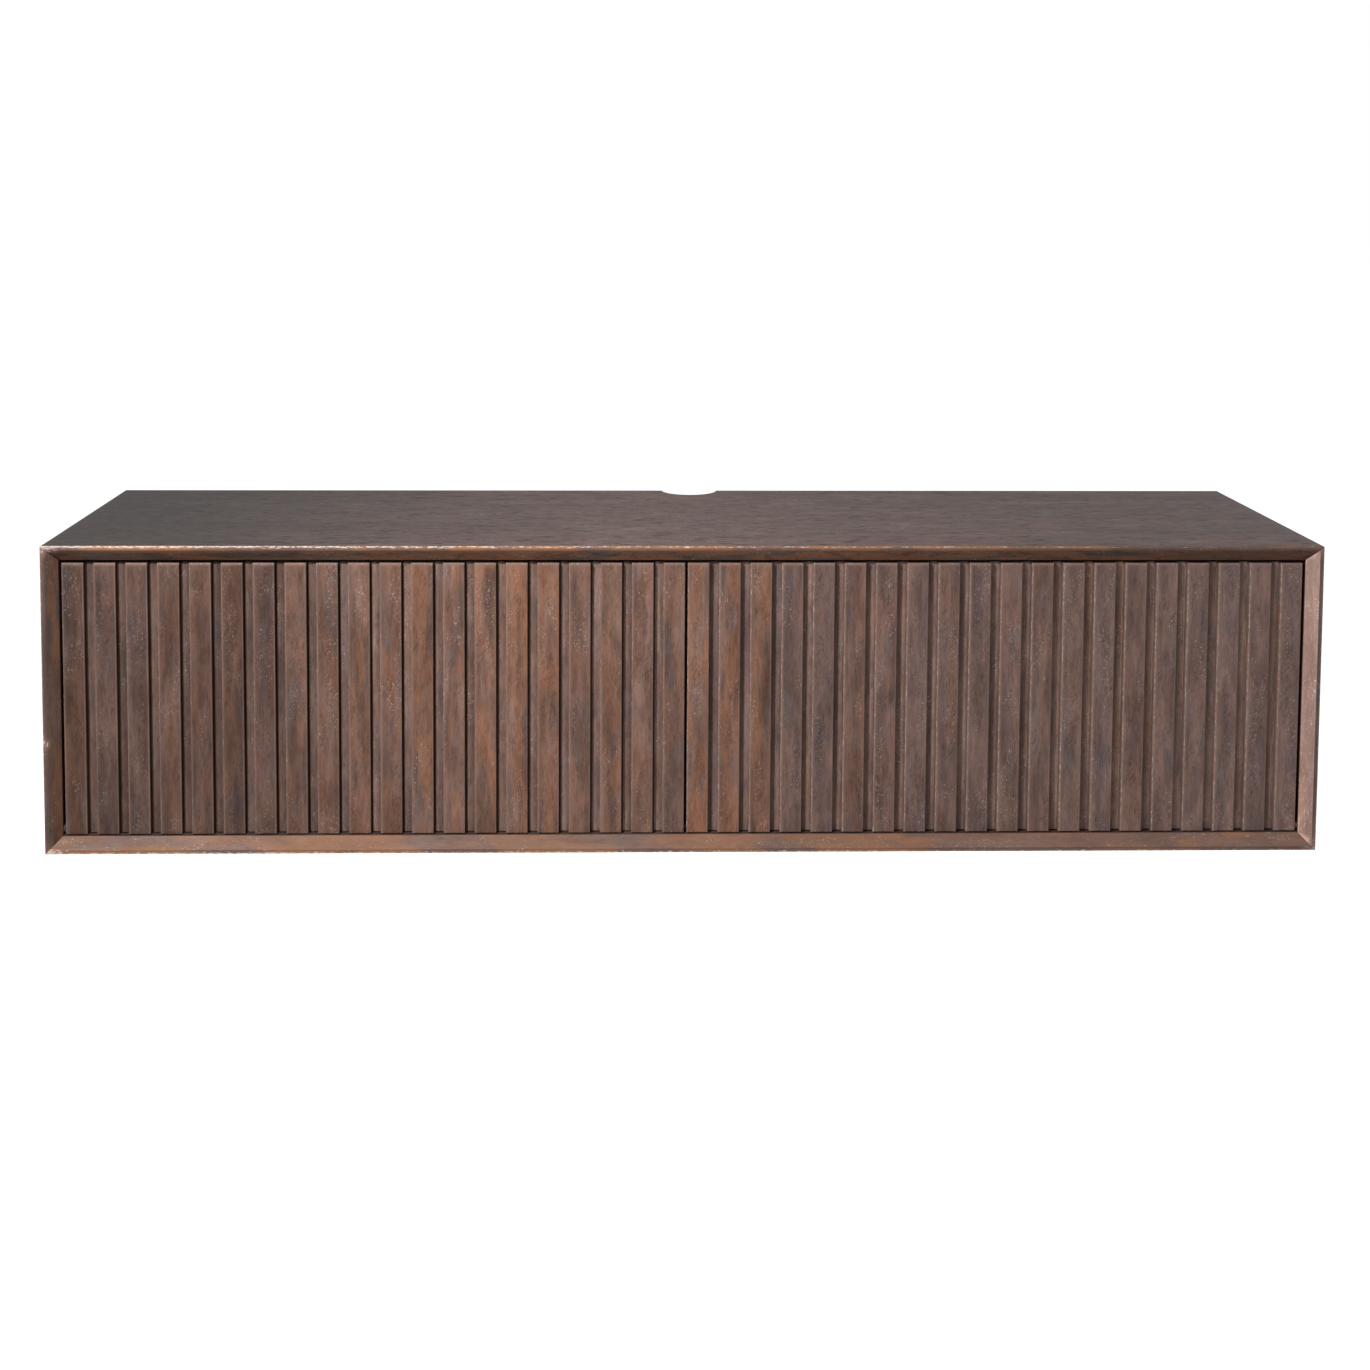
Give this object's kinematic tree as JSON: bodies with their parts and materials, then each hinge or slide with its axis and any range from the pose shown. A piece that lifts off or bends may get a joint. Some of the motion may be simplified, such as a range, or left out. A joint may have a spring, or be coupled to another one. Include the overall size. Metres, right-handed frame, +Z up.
{
  "type": "floating media console",
  "caption": "Wall-hung media console with a mitred, bevelled carcass and slatted push-open drop-down flaps on sliding-bar stays, with a cable notch in the top.",
  "frame": {"origin": "middle of the four wall bolts, on the wall plane behind the console", "axes": "+X to the right seen from the front, +Y into the wall, +Z up; the front faces -Y"},
  "size_m": [1.6, 0.4, 0.39],
  "materials": {
    "stained_mango_wood": "walnut-stained solid mango wood, open grain, satin lacquer rubbed through at the arrises",
    "stained_plywood": "thin plywood stained dark, matt",
    "planed_hardwood": "planed hardwood, lightly stained, unlacquered",
    "zinc_plated_steel": "bright zinc plated steel, satin",
    "zinc_plated_screws": "zinc plated steel screws",
    "die_cast_zinc": "nickel plated zinc die casting, satin",
    "nickel_plated_brass": "nickel plated brass, turned",
    "grey_acetal": "moulded dark grey acetal, matt",
    "nickel_plated_magnet": "sintered magnet, nickel plated"
  },
  "bodies": {
    "carcass": {"back_panel": "stained_plywood", "back_panel_screws": "zinc_plated_screws", "bottom_panel": "stained_mango_wood", "centre_divider": "stained_mango_wood", "centre_hinge_tongue": "zinc_plated_steel", "hinge_tongue_dowels": "zinc_plated_steel", "left_carcass_hinge_leaf": "zinc_plated_steel", "left_carcass_hinge_screws": "zinc_plated_screws", "left_latch_housing": "grey_acetal", "left_latch_screws": "zinc_plated_screws", "left_stay_base_screws": "zinc_plated_screws", "left_stay_bases": "zinc_plated_steel", "lower_hanging_rail": "planed_hardwood", "mitre_splines": "planed_hardwood", "right_carcass_hinge_leaf": "zinc_plated_steel", "right_carcass_hinge_screws": "zinc_plated_screws", "right_latch_housing": "grey_acetal", "right_latch_screws": "zinc_plated_screws", "right_stay_base_screws": "zinc_plated_screws", "right_stay_bases": "zinc_plated_steel", "side_panel_left": "stained_mango_wood", "side_panel_right": "stained_mango_wood", "top_panel": "stained_mango_wood", "upper_hanging_rail_left": "planed_hardwood", "upper_hanging_rail_right": "planed_hardwood"},
    "flap_left": {"left_flap_board": "stained_mango_wood", "left_flap_hinge_leaves": "zinc_plated_steel", "left_flap_hinge_screws": "zinc_plated_screws", "left_flap_slats": "stained_mango_wood", "left_flap_striker_plate": "zinc_plated_steel", "left_flap_striker_screws": "zinc_plated_screws", "left_flap_thrust_washer": "grey_acetal", "left_stay_bracket_screws": "zinc_plated_screws", "left_stay_brackets": "zinc_plated_steel"},
    "flap_right": {"right_flap_board": "stained_mango_wood", "right_flap_hinge_leaves": "zinc_plated_steel", "right_flap_hinge_screws": "zinc_plated_screws", "right_flap_slats": "stained_mango_wood", "right_flap_striker_plate": "zinc_plated_steel", "right_flap_striker_screws": "zinc_plated_screws", "right_flap_thrust_washer": "grey_acetal", "right_stay_bracket_screws": "zinc_plated_screws", "right_stay_brackets": "zinc_plated_steel"},
    "latch_plunger_left": {"left_latch_magnet": "nickel_plated_magnet", "left_latch_plunger": "grey_acetal"},
    "latch_plunger_right": {"right_latch_magnet": "nickel_plated_magnet", "right_latch_plunger": "grey_acetal"},
    "stay_bars_left": {"left_stay_bars": "zinc_plated_steel", "left_stay_end_stops": "grey_acetal"},
    "stay_bars_right": {"right_stay_bars": "zinc_plated_steel", "right_stay_end_stops": "grey_acetal"},
    "stay_guides_left": {"left_stay_friction_screws": "nickel_plated_brass", "left_stay_guides": "die_cast_zinc"},
    "stay_guides_right": {"right_stay_friction_screws": "nickel_plated_brass", "right_stay_guides": "die_cast_zinc"}
  },
  "joints": [
    {"name": "flap_left_hinge", "type": "hinge", "parent": "carcass", "child": "flap_left", "pos_m": [0, -0.3835, -0.167], "axis": [1, 0, 0], "range_deg": [0, 90]},
    {"name": "stay_bars_left_pivot", "type": "hinge", "parent": "flap_left", "child": "stay_bars_left", "pos_m": [0, -0.35434, 0.01105], "axis": [1, 0, 0], "range_deg": [-45, 0]},
    {"name": "stay_guides_left_swivel", "type": "hinge", "parent": "carcass", "child": "stay_guides_left", "pos_m": [0, -0.2952, -0.00966], "axis": [1, 0, 0], "range_deg": [0, 45]},
    {"name": "latch_plunger_left_slide", "type": "slide", "parent": "carcass", "child": "latch_plunger_left", "axis": [0, 1, 0], "range_m": [0, 0.004], "stiffness_N_per_m": 300},
    {"name": "flap_right_hinge", "type": "hinge", "parent": "carcass", "child": "flap_right", "pos_m": [0, -0.3835, -0.167], "axis": [1, 0, 0], "range_deg": [0, 90]},
    {"name": "stay_bars_right_pivot", "type": "hinge", "parent": "flap_right", "child": "stay_bars_right", "pos_m": [0, -0.35434, 0.01105], "axis": [1, 0, 0], "range_deg": [-45, 0]},
    {"name": "stay_guides_right_swivel", "type": "hinge", "parent": "carcass", "child": "stay_guides_right", "pos_m": [0, -0.2952, -0.00966], "axis": [1, 0, 0], "range_deg": [0, 45]},
    {"name": "latch_plunger_right_slide", "type": "slide", "parent": "carcass", "child": "latch_plunger_right", "axis": [0, 1, 0], "range_m": [0, 0.004], "stiffness_N_per_m": 300}
  ],
  "couplings": [
    {"joint": "stay_bars_left_pivot", "follows": "flap_left_hinge", "ratio": -0.5},
    {"joint": "stay_guides_left_swivel", "follows": "flap_left_hinge", "ratio": 0.5},
    {"joint": "stay_bars_right_pivot", "follows": "flap_right_hinge", "ratio": -0.5},
    {"joint": "stay_guides_right_swivel", "follows": "flap_right_hinge", "ratio": 0.5}
  ]
}
